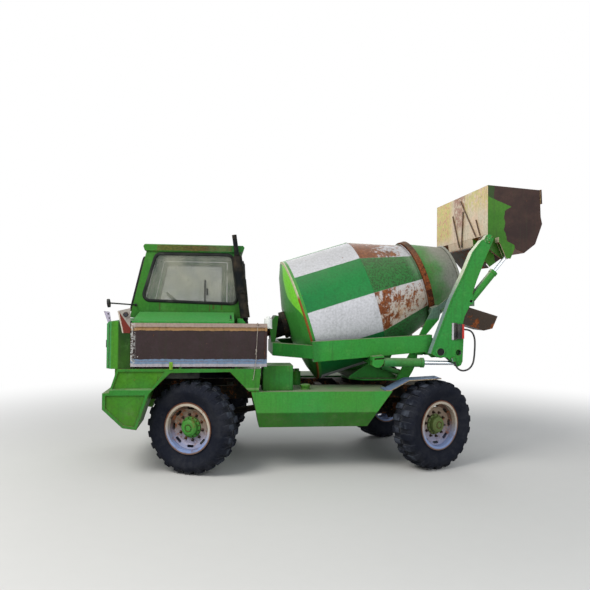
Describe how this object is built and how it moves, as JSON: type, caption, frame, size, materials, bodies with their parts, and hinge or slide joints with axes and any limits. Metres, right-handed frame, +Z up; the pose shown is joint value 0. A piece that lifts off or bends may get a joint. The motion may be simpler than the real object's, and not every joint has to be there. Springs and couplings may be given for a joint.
{
  "type": "self-loading concrete mixer",
  "caption": "Four-wheeled self-loading concrete mixer: side cab, slewing and tilting drum, loading arms with a bucket that empties into the drum's mouth, chute below",
  "frame": {"origin": "on the ground under the middle of the whole machine", "axes": "+X towards the bucket end, +Z up; the cab's windscreen faces -X and -Y is the engine's side"},
  "size_m": [5.02, 2.2912, 3.2818],
  "materials": {
    "green_paint": "glossy",
    "drum_paint": "satin",
    "maroon_paint": "satin",
    "dark_steel": "matte",
    "grey_paint": "satin",
    "tyre": "matte",
    "rim_paint": "satin",
    "glass": "glossy",
    "black_plastic": "matte",
    "seat_cover": "matte",
    "chrome": "glossy",
    "lamp": "glossy",
    "white_plastic": "matte"
  },
  "bodies": {
    "chassis": {"chassis_frame": "dark_steel", "front_body_left": "green_paint", "front_body_right": "green_paint", "front_panel": "green_paint", "side_tanks": "green_paint", "rear_fenders": "grey_paint", "front_axle": "dark_steel", "rear_axle": "dark_steel", "drive_line": "dark_steel", "cab_shell": "green_paint", "cab_glass": "glass", "cab_roof": "green_paint", "seat": "seat_cover", "dashboard": "black_plastic", "engine_bay": "green_paint", "engine_side_panel": "maroon_paint", "front_hood": "green_paint", "exhaust_stack": "dark_steel", "tool_box": "green_paint", "fluid_bottle": "white_plastic", "nose_plates": "grey_paint", "tie_string": "black_plastic"},
    "cab_door": {"cab_door": "green_paint", "cab_door_glass": "glass"},
    "engine_lid": {"engine_lid": "green_paint"},
    "turret": {"turret": "green_paint"},
    "tilt_barrels": {"tilt_barrels": "green_paint"},
    "tilt_rods": {"tilt_rods": "chrome"},
    "drum_frame": {"drum_frame": "green_paint", "drum_drive": "dark_steel", "discharge_hopper": "green_paint"},
    "drum": {"drum_shell": "drum_paint", "roller_ring": "dark_steel"},
    "chute": {"chute": "green_paint"},
    "lift_barrels": {"lift_barrels": "green_paint"},
    "lift_rods": {"lift_rods": "chrome"},
    "loading_arms": {"loading_arms": "green_paint", "tail_lamps": "lamp", "lamp_hose": "black_plastic"},
    "bucket_rods": {"bucket_rods": "chrome"},
    "bucket": {"bucket": "green_paint"},
    "bucket_gate": {"bucket_gate": "green_paint"},
    "knuckle_front_left": {"knuckle_front_left": "dark_steel"},
    "wheel_front_left": {"wheel_front_left": "rim_paint", "tyre_front_left": "tyre"},
    "knuckle_front_right": {"knuckle_front_right": "dark_steel"},
    "wheel_front_right": {"wheel_front_right": "rim_paint", "tyre_front_right": "tyre"},
    "knuckle_rear_left": {"knuckle_rear_left": "dark_steel"},
    "wheel_rear_left": {"wheel_rear_left": "rim_paint", "tyre_rear_left": "tyre"},
    "knuckle_rear_right": {"knuckle_rear_right": "dark_steel"},
    "wheel_rear_right": {"wheel_rear_right": "rim_paint", "tyre_rear_right": "tyre"}
  },
  "joints": [
    {"name": "steer_front_left", "type": "hinge", "parent": "chassis", "child": "knuckle_front_left", "pos_m": [-1.468, -0.638, 0.505], "axis": [0, 0, 1], "range_deg": [-10.5, 59.5]},
    {"name": "spin_front_left", "type": "hinge", "parent": "knuckle_front_left", "child": "wheel_front_left", "pos_m": [-1.468, -0.638, 0.505], "axis": [-0.4147, -0.91, 0], "continuous": true},
    {"name": "steer_front_right", "type": "hinge", "parent": "chassis", "child": "knuckle_front_right", "pos_m": [-1.468, 0.638, 0.505], "axis": [0, 0, 1], "range_deg": [-10.5, 59.5]},
    {"name": "spin_front_right", "type": "hinge", "parent": "knuckle_front_right", "child": "wheel_front_right", "pos_m": [-1.468, 0.638, 0.505], "axis": [-0.4147, -0.91, 0], "continuous": true},
    {"name": "steer_rear_left", "type": "hinge", "parent": "chassis", "child": "knuckle_rear_left", "pos_m": [1.101, -0.638, 0.505], "axis": [0, 0, 1], "range_deg": [-59.5, 10.5]},
    {"name": "spin_rear_left", "type": "hinge", "parent": "knuckle_rear_left", "child": "wheel_rear_left", "pos_m": [1.101, -0.638, 0.505], "axis": [0.4147, -0.91, 0], "continuous": true},
    {"name": "steer_rear_right", "type": "hinge", "parent": "chassis", "child": "knuckle_rear_right", "pos_m": [1.101, 0.638, 0.505], "axis": [0, 0, 1], "range_deg": [-59.5, 10.5]},
    {"name": "spin_rear_right", "type": "hinge", "parent": "knuckle_rear_right", "child": "wheel_rear_right", "pos_m": [1.101, 0.638, 0.505], "axis": [0.4147, -0.91, 0], "continuous": true},
    {"name": "turret_slew", "type": "hinge", "parent": "chassis", "child": "turret", "pos_m": [0.592, 0, 0.94], "axis": [0, 0, 1], "range_deg": [-90, 90]},
    {"name": "frame_tilt", "type": "hinge", "parent": "turret", "child": "drum_frame", "pos_m": [1.069, 0, 1.32], "axis": [0, 1, 0], "range_deg": [0, 20]},
    {"name": "tilt_barrel_swing", "type": "hinge", "parent": "turret", "child": "tilt_barrels", "pos_m": [0.965, 0, 1.025], "axis": [0, 1, 0], "range_deg": [0, 19]},
    {"name": "tilt_rod_slide", "type": "slide", "parent": "tilt_barrels", "child": "tilt_rods", "axis": [-0.9476, 0, 0.3193], "range_m": [0, 0.112]},
    {"name": "drum_spin", "type": "hinge", "parent": "drum_frame", "child": "drum", "pos_m": [-0.291, 0, 1.66], "axis": [0.9533, 0, 0.302], "continuous": true},
    {"name": "arm_lift", "type": "hinge", "parent": "drum_frame", "child": "loading_arms", "pos_m": [1.214, 0, 1.343], "axis": [0, -1, 0], "range_deg": [-92, 0]},
    {"name": "lift_barrel_swing", "type": "hinge", "parent": "drum_frame", "child": "lift_barrels", "pos_m": [0.489, 0, 1.224], "axis": [0, -1, 0], "range_deg": [-9, 0]},
    {"name": "lift_rod_slide", "type": "slide", "parent": "lift_barrels", "child": "lift_rods", "axis": [0.9999, 0, -0.0105], "range_m": [-0.36, 0]},
    {"name": "bucket_tilt", "type": "hinge", "parent": "loading_arms", "child": "bucket", "pos_m": [1.774, 0, 2.634], "axis": [0, 1, 0], "range_deg": [-30, 15]},
    {"name": "bucket_rod_slide", "type": "slide", "parent": "loading_arms", "child": "bucket_rods", "axis": [0.6402, 0, 0.7682], "range_m": [-0.08, 0.16]},
    {"name": "gate_swing", "type": "hinge", "parent": "bucket", "child": "bucket_gate", "pos_m": [1.83, 0, 2.584], "axis": [0, 1, 0], "range_deg": [0, 45]},
    {"name": "chute_swivel", "type": "hinge", "parent": "drum_frame", "child": "chute", "pos_m": [1.752, 0, 1.8], "axis": [0, 0, 1], "range_deg": [-60, 60]},
    {"name": "door_swing", "type": "hinge", "parent": "chassis", "child": "cab_door", "pos_m": [-1.18, 0.7125, 1.8], "axis": [0, 0, -1], "range_deg": [0, 80]},
    {"name": "lid_swing", "type": "hinge", "parent": "chassis", "child": "engine_lid", "pos_m": [-1.64, -0.414, 1.75], "axis": [-1, 0, 0], "range_deg": [0, 60]}
  ],
  "couplings": [
    {"joint": "steer_front_right", "follows": "steer_front_left", "ratio": 1},
    {"joint": "steer_rear_right", "follows": "steer_rear_left", "ratio": 1},
    {"joint": "lift_barrel_swing", "follows": "arm_lift", "ratio": 0.0947},
    {"joint": "lift_rod_slide", "follows": "arm_lift", "m_per_rad": 0.219},
    {"joint": "tilt_barrel_swing", "follows": "frame_tilt", "ratio": 0.8995},
    {"joint": "tilt_rod_slide", "follows": "frame_tilt", "m_per_rad": 0.308},
    {"joint": "bucket_rod_slide", "follows": "bucket_tilt", "m_per_rad": -0.29}
  ]
}
